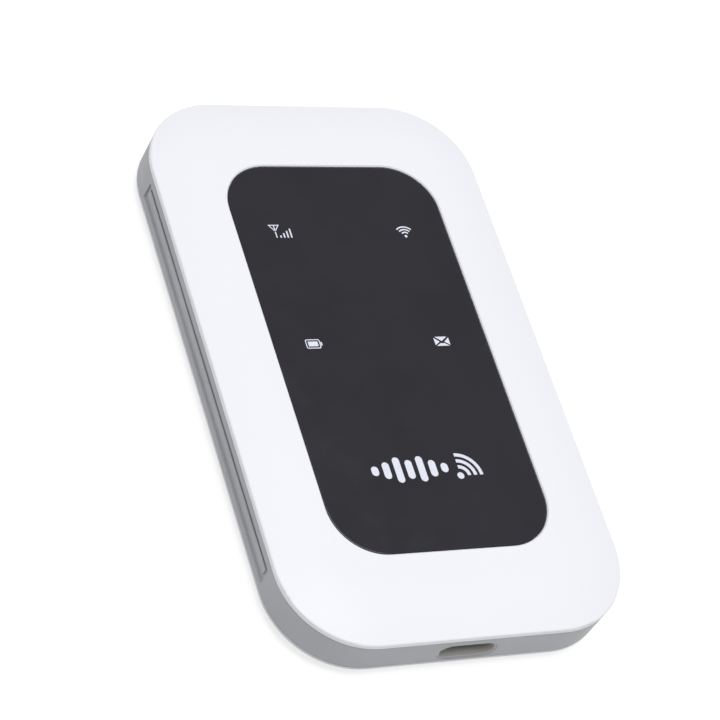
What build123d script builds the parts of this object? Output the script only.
"""Pocket mobile hotspot: white front and back covers on a grey middle housing, with a removable battery.

Millimetres. +Z is out of the front face, +Y runs towards the power-button end, +X is the width.
The origin is the middle of the back face, on which the hotspot lies.
"""

import math
import os

from build123d import *

# Overall size and the three shells that make it
WIDTH, LENGTH, THICK = 60.0, 102.3, 10.5
CORNER_R = 13.9
WALL = 1.5
BACK_SPLIT_Z = 2.45  # where the back cover meets the housing
FRONT_SPLIT_Z = 8.15  # where the housing meets the front cover
FRONT_RIM_Z, BACK_RIM_Z = 9.1, 1.85  # the covers' outer edges, short of their crowned faces
CROWN_W = 10.6  # each face rises from its rim over this width
FRONT_RIM_FILLET, BACK_RIM_FILLET = 0.35, 0.15
PARTING_CHAMFER = 0.08
SEAM_GAP, SEAM_DEPTH = 0.09, 0.4  # shadow line over the back cover
END_Y = LENGTH / 2

# Window panel and the glue sheet under it
PANEL_W, PANEL_L, PANEL_R = 38.6, 73.6, 8.5
PANEL_X, PANEL_Y = 0.15, 0.35
PANEL_GAP, POCKET_CHAMFER = 0.12, 0.2
PANEL_TOP_Z, PANEL_THICK, GLUE_THICK = 10.3, 1.0, 0.1
GLUE_Z = PANEL_TOP_Z - PANEL_THICK - GLUE_THICK
PANEL_FLOOR_Z = 8.5
ICONS = {"signal": (-11.5, 23.8), "wifi": (11.2, 22.8), "battery": (-12.0, 1.9), "message": (11.4, 1.8)}
LIGHT_WELL_R = 2.5

# Main board and the screws that clamp it
BOARD_Z0, BOARD_Z1 = 7.0, 7.8
BOARD_INSET = 2.4
SCREW_SPOTS = [(x, y) for x in (-22.0, 22.0) for y in (-43.6, 43.6)] + [(-25.7, 6.0), (25.7, 6.0)]
SCREW_R, SCREW_HEAD_R, SCREW_HEAD_H = 0.8, 1.5, 0.8
SCREW_SEAT_Z, SCREW_TIP_Z = 3.4, 9.3
BOSS_R = 2.2

# Rear plate, battery bay and battery
PLATE_Z0, PLATE_Z1, PLATE_INSET = 2.5, 3.1, 0.3
BATTERY_W, BATTERY_L, BATTERY_H = 44.0, 60.0, 4.4
BATTERY_Y, BATTERY_Z0 = 8.0, 1.25
BATTERY_EDGE_R, CONTACT_CAP_L, TAIL_CAP_L = 1.2, 3.2, 1.6
BAY_GAP, BAY_WALL = 0.3, 0.8
BAY_Z0, BAY_TOP_Z, BAY_ROOF = 1.6, 5.75, 0.6
SCOOP_R, SCOOP_Z = 3.8, 4.5  # fingertip recess at the battery's end
SPRING_SLOT_HALF_W, SPRING_SLOT_Z = 5.0, 4.9  # way through the bay's wall for the spring contacts
BATTERY_END_Y = BATTERY_Y - BATTERY_L / 2
COVER_WALL = 1.0
TONGUE_INSET, TONGUE_Z, TONGUE_GAP = 2.35, (1.5, 3.4), 0.15
NAIL_Y, NAIL_R, NAIL_L = -34.0, 1.0, 9.0

# SIM card, its socket and the window in the bay roof
SIM_W, SIM_L, SIM_H = 12.0, 15.0, 0.76
SIM_Z0, SIM_Y0 = 5.96, 14.0
SIM_TRAVEL = 11.5
SIM_WINDOW = (-8.6, 8.6, 1.0, 31.0)

# Socket for the charging plug, and the power button at the other end
PORT_W, PORT_H, PORT_Z, PORT_DEPTH = 10.0, 3.85, 4.82, 1.7
PORT_CHAMFER, COLLAR_W, COLLAR_DEPTH = 0.2, 11.6, 2.4
LINER_GAP, LINER_WALL = 0.04, 0.18
SHELL_W, SHELL_H, SHELL_L, SHELL_WALL = 8.94, 3.16, 7.3, 0.3
SHELL_SET_BACK, SHELL_GAP = 1.8, 0.08
BUTTON_X, BUTTON_Z, BUTTON_W, BUTTON_H = 8.0, 5.0, 10.0, 2.8
BUTTON_PROUD, BUTTON_GAP = 0.3, 0.12
BUTTON_TRAVEL = 0.3
PLUNGER_Y = 48.2  # where the button's post meets the switch
RESET_X, RESET_Y, RESET_HOLE_R = 23.6, -33.0, 0.8

# Grip channel along each long side, with a rib left standing in it
CHANNEL_HALF_L, CHANNEL_DEPTH = 36.2, 0.32
CHANNEL_Z = (3.45, 6.97)
LEDGE_BEVEL = 0.28
RIB_Z, RIB_HALF_L, RIB_SINK, RIB_FILLET = (4.85, 6.15), 35.4, 0.08, 0.1


def box(x0, x1, y0, y1, z0, z1):
    """A block between two corners."""
    size = (x1 - x0, y1 - y0, z1 - z0)
    return Pos((x0 + x1) / 2, (y0 + y1) / 2, (z0 + z1) / 2) * Box(*size)


def rod(x, y, z0, z1, radius):
    """A round bar along Z."""
    return Pos(x, y, (z0 + z1) / 2) * Cylinder(radius, z1 - z0)


def outline(inset=0.0):
    """The hotspot's plan shape, drawn in by inset."""
    return RectangleRounded(WIDTH - 2 * inset, LENGTH - 2 * inset, CORNER_R - inset)


def slab(sketch, z0, z1):
    """A flat sketch raised from z0 to z1."""
    return extrude(Pos(0, 0, z0) * sketch, z1 - z0)


def ring(inset_out, inset_in, z0, z1):
    """A wall that follows the plan shape."""
    return slab(outline(inset_out) - outline(inset_in), z0, z1)


def end_plane(y, side):
    """A plane on an end face, facing outwards: side -1 is the socket end and 1 the button end."""
    return Plane((0, y, 0), x_dir=(-side, 0, 0), z_dir=(0, side, 0))


def slot_bar(x, z, width, height, y0, y1):
    """A bar along Y with a slot-shaped section."""
    section = Plane((x, y0, z), x_dir=(-1, 0, 0), z_dir=(0, 1, 0)) * SlotOverall(width, height)
    return extrude(section, y1 - y0)


def group(shapes):
    """Separate solids as one node."""
    return Compound(children=list(shapes))


# --- Shells ---------------------------------------------------------------------------------------


def crowned_block(split_z, rim_z, face_z, rim_fillet):
    """A cover's outside: a vertical lip, and a face that swells in an arc from it all round."""
    right = WIDTH / 2
    inner = right - CROWN_W
    out = 1 if face_z > split_z else -1
    rise = abs(face_z - rim_z)
    radius = (CROWN_W**2 + rise**2) / (2 * rise)
    mid_x = inner + radius * math.sin(math.asin(CROWN_W / radius) / 2)
    mid_z = face_z - out * (radius - math.sqrt(radius**2 - (mid_x - inner) ** 2))
    lip = Polyline(
        (inner, 0, face_z),
        (inner, 0, split_z),
        (right - PARTING_CHAMFER, 0, split_z),
        (right, 0, split_z + out * PARTING_CHAMFER),
        (right, 0, rim_z),
    )
    crown = ThreePointArc((right, 0, rim_z), (mid_x, 0, mid_z), (inner, 0, face_z))
    section = make_face([*lip.edges(), crown])
    rim = [v for v in section.vertices() if abs(v.Z - rim_z) < 0.01 and abs(v.X - right) < 0.01]
    section = fillet(rim, rim_fillet)
    path = (Pos(0, 0, split_z) * outline()).wires()[0]
    start = path.edges().sort_by(Axis.X)[-1]
    ordered = Wire([start, *[e for e in path.edges() if e != start]])
    section = Pos(0, start.position_at(0).Y, 0) * section
    return sweep(section, path=ordered) + slab(outline(CROWN_W), *sorted((split_z, face_z)))


def panel_shape(grow=0.0):
    """The window panel's plan shape, grown outwards."""
    shape = RectangleRounded(PANEL_W + 2 * grow, PANEL_L + 2 * grow, PANEL_R + grow)
    return Pos(PANEL_X, PANEL_Y) * shape


def front_cover():
    """White frame round the panel, with a floor under it, light wells, bosses and a locating tongue."""
    cover = crowned_block(FRONT_SPLIT_Z, FRONT_RIM_Z, THICK, FRONT_RIM_FILLET)
    cover -= slab(outline(WALL + 0.1), FRONT_SPLIT_Z - 1, PANEL_FLOOR_Z - 0.2)
    cover -= slab(panel_shape(PANEL_GAP), GLUE_Z, THICK + 1)
    mouth = Pos(0, 0, THICK) * panel_shape(PANEL_GAP + POCKET_CHAMFER)
    cover -= extrude(mouth, -POCKET_CHAMFER, taper=45)
    cover -= slab(panel_shape(-1.0), FRONT_SPLIT_Z, PANEL_FLOOR_Z)
    cover += ring(WALL + 0.05, WALL + 0.6, BOARD_Z0 + 0.1, PANEL_FLOOR_Z)
    for x, y in ICONS.values():
        cover -= rod(x, y, FRONT_SPLIT_Z, THICK, LIGHT_WELL_R)
    for x, y in SCREW_SPOTS:
        cover += rod(x, y, BOARD_Z1, PANEL_FLOOR_Z, BOSS_R)
        cover -= rod(x, y, BOARD_Z0, SCREW_TIP_Z + 0.15, SCREW_R + 0.05)
    return cover


def side_channel(side):
    """What is cut from one long side: a long pocket over a bevelled ledge, less its middle rib."""
    face = side * WIDTH / 2
    z0, z1 = CHANNEL_Z
    section = make_face(
        Polyline(
            (face + side, -CHANNEL_HALF_L, z0),
            (face, -CHANNEL_HALF_L, z0),
            (face - side * LEDGE_BEVEL, -CHANNEL_HALF_L, z0 + LEDGE_BEVEL),
            (face - side * CHANNEL_DEPTH, -CHANNEL_HALF_L, z0 + LEDGE_BEVEL),
            (face - side * CHANNEL_DEPTH, -CHANNEL_HALF_L, z1 - LEDGE_BEVEL / 2),
            (face, -CHANNEL_HALF_L, z1),
            (face + side, -CHANNEL_HALF_L, z1),
            close=True,
        ).edges()
    )
    pocket = extrude(section, 2 * CHANNEL_HALF_L, dir=(0, 1, 0))
    x0, x1 = sorted((face - side * (CHANNEL_DEPTH + 0.3), face - side * RIB_SINK))
    rib = box(x0, x1, -RIB_HALF_L, RIB_HALF_L, *RIB_Z)
    outer = [e for e in rib.edges() if abs(e.center().X - (face - side * RIB_SINK)) < 0.01]
    return pocket - fillet(outer, RIB_FILLET)


def port_cut():
    """The opening for the charging plug, its edge broken, and the closer hole behind for the sleeve."""
    hole = slot_bar(0, PORT_Z, PORT_W, PORT_H, -END_Y - 1, -END_Y + PORT_DEPTH)
    width, height = SHELL_W + 2 * SHELL_GAP, SHELL_H + 2 * SHELL_GAP
    hole += slot_bar(0, PORT_Z, width, height, -END_Y, -END_Y + COLLAR_DEPTH + 1)
    mouth = end_plane(-END_Y, -1) * Pos(0, PORT_Z) * SlotOverall(
        PORT_W + 2 * PORT_CHAMFER, PORT_H + 2 * PORT_CHAMFER
    )
    return hole + extrude(mouth, -PORT_CHAMFER, taper=45)


def rear_housing():
    """Grey middle shell: side wall, rear plate, battery bay with its roof, screw bosses and openings."""
    wall = ring(0, WALL, BACK_SPLIT_Z, FRONT_SPLIT_Z)
    edges = [e for e in wall.edges() if abs(e.center().Z - FRONT_SPLIT_Z) < 0.01]
    outer = [e for e in edges if abs(e.center().X) > WIDTH / 2 - 0.01 or abs(e.center().Y) > END_Y - 0.01]
    housing = chamfer(outer, PARTING_CHAMFER)
    housing -= ring(-1, SEAM_DEPTH, BACK_SPLIT_Z - 1, BACK_SPLIT_Z + SEAM_GAP)
    housing += slab(outline(PLATE_INSET), PLATE_Z0, PLATE_Z1)
    x1 = BATTERY_W / 2 + BAY_GAP
    y0, y1 = BATTERY_END_Y - BAY_GAP, BATTERY_END_Y + BATTERY_L + BAY_GAP
    w = BAY_WALL
    housing += box(-x1 - w, x1 + w, y0 - w, y1 + w, BAY_Z0, BAY_TOP_Z + BAY_ROOF)
    housing += rod(0, y1, PLATE_Z0, SCOOP_Z + 0.6, SCOOP_R + 0.7)
    c = COLLAR_W / 2
    housing += box(-c, c, -END_Y + WALL - 0.1, -END_Y + COLLAR_DEPTH, PLATE_Z1, BOARD_Z0 - 0.1)
    for x, y in SCREW_SPOTS:
        housing += rod(x, y, PLATE_Z0, BOARD_Z0, BOSS_R)
    housing -= box(-x1, x1, y0, y1, BAY_Z0 - 1, BAY_TOP_Z)
    housing -= box(*SIM_WINDOW, BAY_TOP_Z - 0.5, BAY_TOP_Z + BAY_ROOF + 0.5)
    housing -= rod(0, y1, PLATE_Z0 - 1, SCOOP_Z, SCOOP_R)
    for x, y in SCREW_SPOTS:
        housing -= rod(x, y, PLATE_Z0 - 1, BOARD_Z0 + 1, SCREW_R + 0.2)
        housing -= rod(x, y, PLATE_Z0 - 1, SCREW_SEAT_Z, SCREW_HEAD_R + 0.2)
    slot = SPRING_SLOT_HALF_W
    housing -= box(-slot, slot, y0 - w - 0.1, y0 + 0.1, PLATE_Z1, SPRING_SLOT_Z)
    housing -= rod(RESET_X, RESET_Y, PLATE_Z0 - 1, PLATE_Z1 + 1, RESET_HOLE_R)
    for x, y, dx, dy in cover_tongues():
        dx, dy = dx + TONGUE_GAP, dy + TONGUE_GAP
        housing -= box(x - dx, x + dx, y - dy, y + dy, PLATE_Z0 - 1, TONGUE_Z[1] + 0.2)
    housing -= port_cut()
    housing -= slot_bar(
        BUTTON_X, BUTTON_Z, BUTTON_W + 2 * BUTTON_GAP, BUTTON_H + 2 * BUTTON_GAP, END_Y - WALL - 1, END_Y + 1
    )
    return housing - side_channel(-1) - side_channel(1)


def cover_tongues():
    """(x, y, half width, half depth) of the back cover's locating tongues."""
    side_x, end_y = WIDTH / 2 - TONGUE_INSET, END_Y - TONGUE_INSET
    sides = [(s * side_x, y, 0.35, 2.0) for s in (-1, 1) for y in (-30.0, -12.0, 24.0, 34.0)]
    ends = [(x, s * end_y, 2.0, 0.35) for s in (-1, 1) for x in (-13.0, 16.5)]
    return sides + ends


def back_cover():
    """White clip-on cover, dished like the front, with tongues and a fingernail notch."""
    dish = crowned_block(BACK_SPLIT_Z, BACK_RIM_Z, 0, BACK_RIM_FILLET)
    cover = dish - Pos(0, 0, COVER_WALL) * dish
    for x, y, dx, dy in cover_tongues():
        cover += box(x - dx, x + dx, y - dy, y + dy, *TONGUE_Z)
    nail = Pos(WIDTH / 2 + 0.6, NAIL_Y, BACK_SPLIT_Z + 0.2) * Rot(90, 0, 0) * Cylinder(NAIL_R, NAIL_L)
    return cover - nail


def window_panel():
    """Black window let into the front cover, its top edge softened."""
    panel = slab(panel_shape(), GLUE_Z + GLUE_THICK, PANEL_TOP_Z)
    top = [e for e in panel.edges() if abs(e.center().Z - PANEL_TOP_Z) < 0.01]
    return fillet(top, 0.15)


def panel_adhesive():
    """Double-sided sheet under the panel, open over the light wells."""
    sheet = slab(panel_shape(-0.3), GLUE_Z, GLUE_Z + GLUE_THICK)
    for x, y in ICONS.values():
        sheet -= rod(x, y, GLUE_Z - 1, THICK, LIGHT_WELL_R)
    return sheet


def power_button():
    """Pill-shaped key with a retaining flange and a post that reaches the switch."""
    face_y = END_Y + BUTTON_PROUD
    key = slot_bar(BUTTON_X, BUTTON_Z, BUTTON_W, BUTTON_H, END_Y - WALL - 0.3, face_y)
    front = [e for e in key.edges() if abs(e.center().Y - face_y) < 0.01]
    key = fillet(front, 0.25)
    flange_y = END_Y - WALL - 0.05
    key += slot_bar(BUTTON_X, BUTTON_Z, BUTTON_W + 1.4, BUTTON_H + 1.0, flange_y - 0.6, flange_y)
    x0, x1 = BUTTON_X - 1.2, BUTTON_X + 1.2
    return key + box(x0, x1, PLUNGER_Y + 0.01, flange_y, BUTTON_Z - 0.8, BUTTON_Z + 0.8)


def case_screws():
    """Six pan-head screws, each a separate solid, with a cross recess."""
    screws = []
    for x, y in SCREW_SPOTS:
        head = rod(x, y, SCREW_SEAT_Z - SCREW_HEAD_H, SCREW_SEAT_Z, SCREW_HEAD_R)
        low = [e for e in head.edges() if abs(e.center().Z - (SCREW_SEAT_Z - SCREW_HEAD_H)) < 0.01]
        head = fillet(low, 0.3)
        z0 = SCREW_SEAT_Z - SCREW_HEAD_H - 0.1
        for dx, dy in ((0.8, 0.16), (0.16, 0.8)):
            head -= box(x - dx, x + dx, y - dy, y + dy, z0, z0 + 0.55)
        screws.append(head + rod(x, y, SCREW_SEAT_Z - 0.1, SCREW_TIP_Z, SCREW_R))
    return group(screws)


# --- Board and what is soldered to it -------------------------------------------------------------


def main_board():
    """Circuit board that fills the housing, drilled for the screws."""
    board = slab(outline(BOARD_INSET), BOARD_Z0, BOARD_Z1)
    for x, y in SCREW_SPOTS:
        board -= rod(x, y, BOARD_Z0 - 1, BOARD_Z1 + 1, SCREW_R + 0.2)
    return board


def shield_can(x0, x1, y0, y1, height):
    """Folded tin lid, open towards the board."""
    z1 = BOARD_Z0
    can = box(x0, x1, y0, y1, z1 - height, z1)
    can = fillet(can.edges().filter_by(Axis.Z), 0.5)
    return can - box(x0 + 0.2, x1 - 0.2, y0 + 0.2, y1 - 0.2, z1 - height + 0.2, z1 + 1)


def chip(x, y, width, length, height):
    """A packaged part on the board's rear side."""
    body = box(x - width / 2, x + width / 2, y - length / 2, y + length / 2, BOARD_Z0 - height, BOARD_Z0)
    lid = [e for e in body.edges() if abs(e.center().Z - (BOARD_Z0 - height)) < 0.01]
    return chamfer(lid, min(0.1, height / 4))


BASEBAND_CAN = (-26.4, -7.6, -39.6, -25.2, 2.2)
RADIO_CAN = (7.6, 20.6, -39.6, -25.2, 1.8)


def small_parts():
    """Capacitors and resistors in rows on the rear side."""
    rows = []
    for k in range(7):
        rows.append(chip(-4.6 + 1.5 * k, -29.6, 0.8, 1.2, 0.5))
        rows.append(chip(-4.6 + 1.5 * k, -32.2, 0.6, 1.0, 0.4))
    for k in range(4):
        rows.append(chip(-19.0 + 2.0 * k, 42.0, 1.0, 0.6, 0.5))
    rows.append(chip(-17.8, 41.0, 0.6, 0.6, 0.4))
    return group(rows)


def power_inductors():
    """Two wire-wound chokes of the battery charger."""
    return group(rounded_can(x, -36.6, 4.0, 4.0, 1.8) for x in (-3.0, 3.0))


def rounded_can(x, y, width, length, height):
    """A squat square part with rounded corners on the rear side."""
    return slab(Pos(x, y) * RectangleRounded(width, length, 0.7), BOARD_Z0 - height, BOARD_Z0)


def indicator_led(name):
    """Lamp on the board's front side under one icon: a base and a clear lens in one solid."""
    x, y = ICONS[name]
    base = box(x - 0.8, x + 0.8, y - 0.4, y + 0.4, BOARD_Z1, BOARD_Z1 + 0.25)
    return base + box(x - 0.5, x + 0.5, y - 0.35, y + 0.35, BOARD_Z1 + 0.25, BOARD_Z1 + 0.55)


def light_wells():
    """Black foam collars that keep each lamp's light to its own icon."""
    collars = []
    for x, y in ICONS.values():
        block = slab(Pos(x, y) * RectangleRounded(6.0, 6.0, 1.0), BOARD_Z1 + 0.02, PANEL_FLOOR_Z - 0.02)
        collars.append(block - rod(x, y, BOARD_Z1 - 1, THICK, 1.9))
    return group(collars)


def light_diffusers():
    """Milky discs that fill the wells behind the icons."""
    return group(rod(x, y, PANEL_FLOOR_Z, GLUE_Z, LIGHT_WELL_R - 0.05) for x, y in ICONS.values())


# --- Charging socket ------------------------------------------------------------------------------

SHELL_Y0 = -END_Y + SHELL_SET_BACK
SHELL_Y1 = SHELL_Y0 + SHELL_L


def port_liner():
    """Thin trim round the inside of the opening, in front of the sleeve."""
    width, height = PORT_W - 2 * LINER_GAP, PORT_H - 2 * LINER_GAP
    y0, y1 = -END_Y + PORT_CHAMFER + 0.02, -END_Y + PORT_DEPTH - 0.03
    inside = slot_bar(0, PORT_Z, width - 2 * LINER_WALL, height - 2 * LINER_WALL, y0 - 1, y1 + 1)
    return slot_bar(0, PORT_Z, width, height, y0, y1) - inside


def usb_shell():
    """Drawn steel sleeve of the reversible charging socket, closed at the back."""
    sleeve = slot_bar(0, PORT_Z, SHELL_W, SHELL_H, SHELL_Y0, SHELL_Y1)
    bore = slot_bar(
        0, PORT_Z, SHELL_W - 2 * SHELL_WALL, SHELL_H - 2 * SHELL_WALL, SHELL_Y0 - 1, SHELL_Y1 - SHELL_WALL
    )
    legs = [
        box(s * 3.6 - 0.5, s * 3.6 + 0.5, y - 0.6, y + 0.6, PORT_Z + 1.2, BOARD_Z0)
        for s in (-1, 1)
        for y in (SHELL_Y0 + 2.2, SHELL_Y1 - 1.4)
    ]
    return (sleeve + legs) - bore


def usb_tongue():
    """Black tongue in the middle of the sleeve, on a block that fills its back."""
    back = slot_bar(
        0, PORT_Z, SHELL_W - 2 * SHELL_WALL, SHELL_H - 2 * SHELL_WALL, SHELL_Y1 - 1.6, SHELL_Y1 - SHELL_WALL
    )
    blade = box(-3.34, 3.34, SHELL_Y0 + 1.3, SHELL_Y1 - 1.5, PORT_Z - 0.35, PORT_Z + 0.35)
    blade = fillet(blade.edges().filter_by(Axis.Y), 0.3)
    grooves = [usb_contact(k, s, 0.02) for k in range(12) for s in (-1, 1)]
    return back + blade - grooves


def usb_contact(k, side, grow=0.0):
    """One gold strip let into the tongue's face."""
    x = -2.75 + 0.5 * k
    z = PORT_Z + side * 0.32
    return box(
        x - 0.12 - grow, x + 0.12 + grow, SHELL_Y0 + 1.9 - grow, SHELL_Y1 - 2.0 + grow, z - 0.03, z + 0.03
    )


def usb_contacts():
    """Twelve strips on each face of the tongue."""
    return group(usb_contact(k, s) for k in range(12) for s in (-1, 1))


def usb_riser():
    """Plastic riser between the sleeve and the board, between the sleeve's legs."""
    z0 = PORT_Z + SHELL_H / 2
    return box(-3.0, 3.0, -END_Y + COLLAR_DEPTH + 0.1, SHELL_Y1 - 0.4, z0, BOARD_Z0)


# --- Switches -------------------------------------------------------------------------------------

SWITCH_BODY_Y = 47.6


def power_switch_body():
    """Side-pushed key switch on the board's rear side."""
    body = box(BUTTON_X - 2.3, BUTTON_X + 2.3, SWITCH_BODY_Y - 2.8, SWITCH_BODY_Y, BUTTON_Z - 1.3, BOARD_Z0)
    well = slot_bar(BUTTON_X, BUTTON_Z, 2.1, 1.3, SWITCH_BODY_Y - 1.6, SWITCH_BODY_Y + 1)
    return body - well


def power_switch_plunger():
    """The switch's own pusher, which the key's post bears on."""
    return slot_bar(BUTTON_X, BUTTON_Z, 2.0, 1.2, SWITCH_BODY_Y - 1.1, PLUNGER_Y)


def reset_switch_body():
    """Small square key switch behind the reset hole."""
    body = chip(RESET_X, RESET_Y, 3.0, 3.0, 1.4)
    return body - rod(RESET_X, RESET_Y, BOARD_Z0 - 2, BOARD_Z0 - 0.35, 0.66)


def reset_switch_plunger():
    """Pusher of the reset switch, pressed with a pin."""
    return rod(RESET_X, RESET_Y, BOARD_Z0 - 1.8, BOARD_Z0 - 0.8, 0.6)


# --- Battery and its connector --------------------------------------------------------------------

CONTACT_XS = [-3.75 + 2.5 * k for k in range(4)]
PAD_Z = 3.55


def battery_cell():
    """The foil-wrapped cell between its two end caps."""
    x1 = BATTERY_W / 2
    y0, y1 = BATTERY_END_Y + CONTACT_CAP_L, BATTERY_END_Y + BATTERY_L - TAIL_CAP_L
    body = box(-x1, x1, y0, y1, BATTERY_Z0, BATTERY_Z0 + BATTERY_H)
    return fillet(body.edges().filter_by(Axis.Y), BATTERY_EDGE_R)


def battery_end(y0, y1):
    """Plastic cap over one end of the cell."""
    x1 = BATTERY_W / 2
    cap = box(-x1, x1, y0, y1, BATTERY_Z0, BATTERY_Z0 + BATTERY_H)
    return fillet(cap.edges().filter_by(Axis.Y), BATTERY_EDGE_R)


def battery_contact_cap():
    """The cap that carries the four contact pads."""
    cap = battery_end(BATTERY_END_Y, BATTERY_END_Y + CONTACT_CAP_L)
    return cap - [contact_pad(x) for x in CONTACT_XS]


def battery_tail_cap():
    """The plain cap at the other end."""
    y1 = BATTERY_END_Y + BATTERY_L
    return battery_end(y1 - TAIL_CAP_L, y1)


def contact_pad(x):
    """One gold pad in the battery's end."""
    return box(x - 0.75, x + 0.75, BATTERY_END_Y, BATTERY_END_Y + 0.2, PAD_Z - 1.0, PAD_Z + 1.0)


def battery_pads():
    """The four gold pads."""
    return group(contact_pad(x) for x in CONTACT_XS)


BAY_WALL_Y = BATTERY_END_Y - BAY_GAP - BAY_WALL


def battery_connector():
    """Block on the board that holds the battery's spring contacts."""
    block = box(-5.2, 5.2, BAY_WALL_Y - 3.2, BAY_WALL_Y - 0.05, 3.15, BOARD_Z0)
    return block - [box(x - 0.5, x + 0.5, BAY_WALL_Y - 1.4, BAY_WALL_Y, 3.25, 4.6) for x in CONTACT_XS]


def battery_springs():
    """Four bent leaf contacts whose noses touch the battery's pads."""
    springs = []
    for x in CONTACT_XS:
        nose_r = 0.35
        nose_y = BATTERY_END_Y - 0.03 - nose_r
        leaf = box(x - 0.35, x + 0.35, BAY_WALL_Y - 1.3, nose_y, PAD_Z + 0.1, PAD_Z + nose_r)
        nose = Pos(x, nose_y, PAD_Z) * Rot(0, 90, 0) * Cylinder(nose_r, 0.7)
        springs.append(leaf + nose)
    return group(springs)


# --- SIM card and socket --------------------------------------------------------------------------

SIM_BASE_Z = 6.76
SOCKET_Y0, SOCKET_Y1 = 16.4, 30.4
SOCKET_HALF_W = 7.4
SIM_CONTACT_XS = (-3.8, -1.3, 1.3, 3.8)


def sim_card():
    """Card of the middle size, with its cut corner and a recess for the gold pads."""
    card = box(-SIM_W / 2, SIM_W / 2, SIM_Y0, SIM_Y0 + SIM_L, SIM_Z0, SIM_Z0 + SIM_H)
    card = fillet(card.edges().filter_by(Axis.Z), 0.8)
    corner = Pos(SIM_W / 2, SIM_Y0 + SIM_L, SIM_Z0) * Rot(0, 0, 45) * Box(3.2, 3.2, 4)
    return card - corner - sim_pad_blocks()


def sim_pad_blocks():
    """The card's eight gold fields, on the side towards the board."""
    z1 = SIM_Z0 + SIM_H
    return [
        box(x - 1.0, x + 1.0, y - 0.85, y + 0.85, z1 - 0.05, z1)
        for x in SIM_CONTACT_XS
        for y in (SIM_Y0 + 8.0, SIM_Y0 + 10.4)
    ]


def sim_pads():
    """The gold fields themselves."""
    return group(sim_pad_blocks())


def sim_socket_base():
    """Plastic tray on the board with rails either side of the card."""
    tray = box(-SOCKET_HALF_W, SOCKET_HALF_W, SOCKET_Y0, SOCKET_Y1, SIM_BASE_Z, BOARD_Z0)
    for s in (-1, 1):
        x0, x1 = sorted((s * (SIM_W / 2 + 0.15), s * SOCKET_HALF_W))
        tray += box(x0, x1, SOCKET_Y0, SOCKET_Y1, SIM_Z0, SIM_BASE_Z)
    tray += box(-SOCKET_HALF_W, SOCKET_HALF_W, SOCKET_Y1 - 1.0, SOCKET_Y1, SIM_Z0, SIM_BASE_Z)
    return tray - [
        box(x - 0.7, x + 0.7, SIM_Y0 + 6.6, SIM_Y0 + 11.6, SIM_BASE_Z - 0.1, BOARD_Z0 - 0.05)
        for x in SIM_CONTACT_XS
    ]


def sim_socket_cover():
    """Pressed steel lid over the card, with a window and side flanges."""
    z1 = SIM_Z0 - 0.02
    lid = box(-SOCKET_HALF_W, SOCKET_HALF_W, SOCKET_Y0, SOCKET_Y1, z1 - 0.14, z1)
    lid = fillet(lid.edges().filter_by(Axis.Z), 0.5)
    lid -= box(-3.2, 3.2, SOCKET_Y0 - 1, SOCKET_Y0 + 3.4, z1 - 1, z1 + 1)
    lid -= box(-2.2, 2.2, SOCKET_Y0 + 6.5, SOCKET_Y0 + 9.5, z1 - 1, z1 + 1)
    for s in (-1, 1):
        x0, x1 = sorted((s * (SOCKET_HALF_W + 0.02), s * (SOCKET_HALF_W + 0.2)))
        lid += box(x0, x1, SOCKET_Y0 + 1.5, SOCKET_Y1 - 1.5, z1 - 0.14, BOARD_Z0)
        x0, x1 = sorted((s * (SOCKET_HALF_W - 0.6), s * (SOCKET_HALF_W + 0.2)))
        lid += box(x0, x1, SOCKET_Y0 + 1.5, SOCKET_Y1 - 1.5, z1 - 0.14, z1)
    return lid


def sim_springs():
    """Four leaf contacts in the tray's slots."""
    return group(
        box(x - 0.4, x + 0.4, SIM_Y0 + 6.9, SIM_Y0 + 11.3, SIM_BASE_Z + 0.02, BOARD_Z0 - 0.1)
        for x in SIM_CONTACT_XS
    )


# --- Antennas and label ---------------------------------------------------------------------------

ANTENNA_Z0 = 3.7
MAIN_ANTENNA = (-17.5, 0.5, 42.9, 47.4)
SECOND_ANTENNA = (-17.5, -6.0, -48.6, -42.4)
WIFI_ANTENNA = (6.0, 17.5, -48.6, -42.4)


def antenna_carrier(x0, x1, y0, y1):
    """Hollow plastic frame that holds an antenna clear of the board."""
    block = box(x0, x1, y0, y1, ANTENNA_Z0, BOARD_Z0)
    block = fillet(block.edges().filter_by(Axis.Z), 0.6)
    return block - box(x0 + 0.8, x1 - 0.8, y0 + 0.8, y1 - 0.8, ANTENNA_Z0 + 0.8, BOARD_Z0 + 1)


def antenna_strip(x0, x1, y0, y1):
    """Stamped metal pattern on the carrier's rear face: a comb cut from a plate."""
    plate = box(x0 + 0.4, x1 - 0.4, y0 + 0.4, y1 - 0.4, ANTENNA_Z0 - 0.15, ANTENNA_Z0)
    pitch = 2.6
    for k in range(int((x1 - x0 - 2.4) / pitch)):
        x = x0 + 2.0 + pitch * k
        low, high = (y0, y1 - 1.5) if k % 2 else (y0 + 1.5, y1)
        plate -= box(x, x + 0.9, low, high, ANTENNA_Z0 - 1, ANTENNA_Z0 + 1)
    return plate


def info_label():
    """Blank paper label in the roof of the battery bay, beside the SIM window."""
    z1 = BAY_TOP_Z
    return slab(Pos(15.2, 8.0) * RectangleRounded(11.0, 40.0, 1.0), z1 - 0.06, z1)


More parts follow.
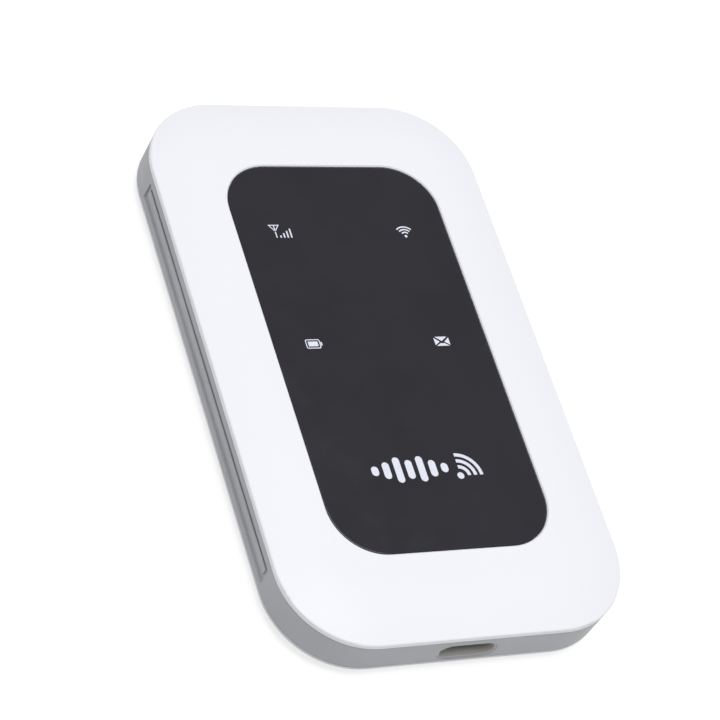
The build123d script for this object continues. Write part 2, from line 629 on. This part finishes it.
NODES = {
    "front_cover": front_cover,
    "rear_housing": rear_housing,
    "back_cover": back_cover,
    "window_panel": window_panel,
    "panel_adhesive": panel_adhesive,
    "power_button": power_button,
    "case_screws": case_screws,
    "main_board": main_board,
    "baseband_shield": lambda: shield_can(*BASEBAND_CAN),
    "radio_shield": lambda: shield_can(*RADIO_CAN),
    "baseband_chip": lambda: chip(-19.5, -32.4, 10.0, 10.0, 1.0),
    "memory_chip": lambda: chip(-10.9, -32.4, 5.0, 8.0, 0.9),
    "radio_chip": lambda: chip(12.4, -32.4, 6.0, 6.0, 0.8),
    "power_amplifier": lambda: chip(18.2, -32.4, 3.0, 4.0, 0.8),
    "charger_chip": lambda: chip(0.0, -40.3, 3.0, 3.0, 0.8),
    "power_inductors": power_inductors,
    "small_board_parts": small_parts,
    "crystal": lambda: chip(5.6, -27.4, 2.4, 1.8, 0.6),
    "light_wells": light_wells,
    "light_diffusers": light_diffusers,
    "port_liner": port_liner,
    "usb_shell": usb_shell,
    "usb_tongue": usb_tongue,
    "usb_contacts": usb_contacts,
    "usb_riser": usb_riser,
    "power_switch_body": power_switch_body,
    "power_switch_plunger": power_switch_plunger,
    "reset_switch_body": reset_switch_body,
    "reset_switch_plunger": reset_switch_plunger,
    "battery_cell": battery_cell,
    "battery_contact_cap": battery_contact_cap,
    "battery_tail_cap": battery_tail_cap,
    "battery_pads": battery_pads,
    "battery_connector": battery_connector,
    "battery_springs": battery_springs,
    "sim_card": sim_card,
    "sim_pads": sim_pads,
    "sim_socket_base": sim_socket_base,
    "sim_socket_cover": sim_socket_cover,
    "sim_springs": sim_springs,
    "main_antenna_carrier": lambda: antenna_carrier(*MAIN_ANTENNA),
    "main_antenna": lambda: antenna_strip(*MAIN_ANTENNA),
    "second_antenna_carrier": lambda: antenna_carrier(*SECOND_ANTENNA),
    "second_antenna": lambda: antenna_strip(*SECOND_ANTENNA),
    "wifi_antenna_carrier": lambda: antenna_carrier(*WIFI_ANTENNA),
    "wifi_antenna": lambda: antenna_strip(*WIFI_ANTENNA),
    "info_label": info_label,
}
for icon in ICONS:
    NODES[f"{icon}_led"] = lambda icon=icon: indicator_led(icon)

os.makedirs("parts", exist_ok=True)
for node, make in NODES.items():
    export_step(make(), f"parts/{node}.step")
print(len(NODES), "nodes")
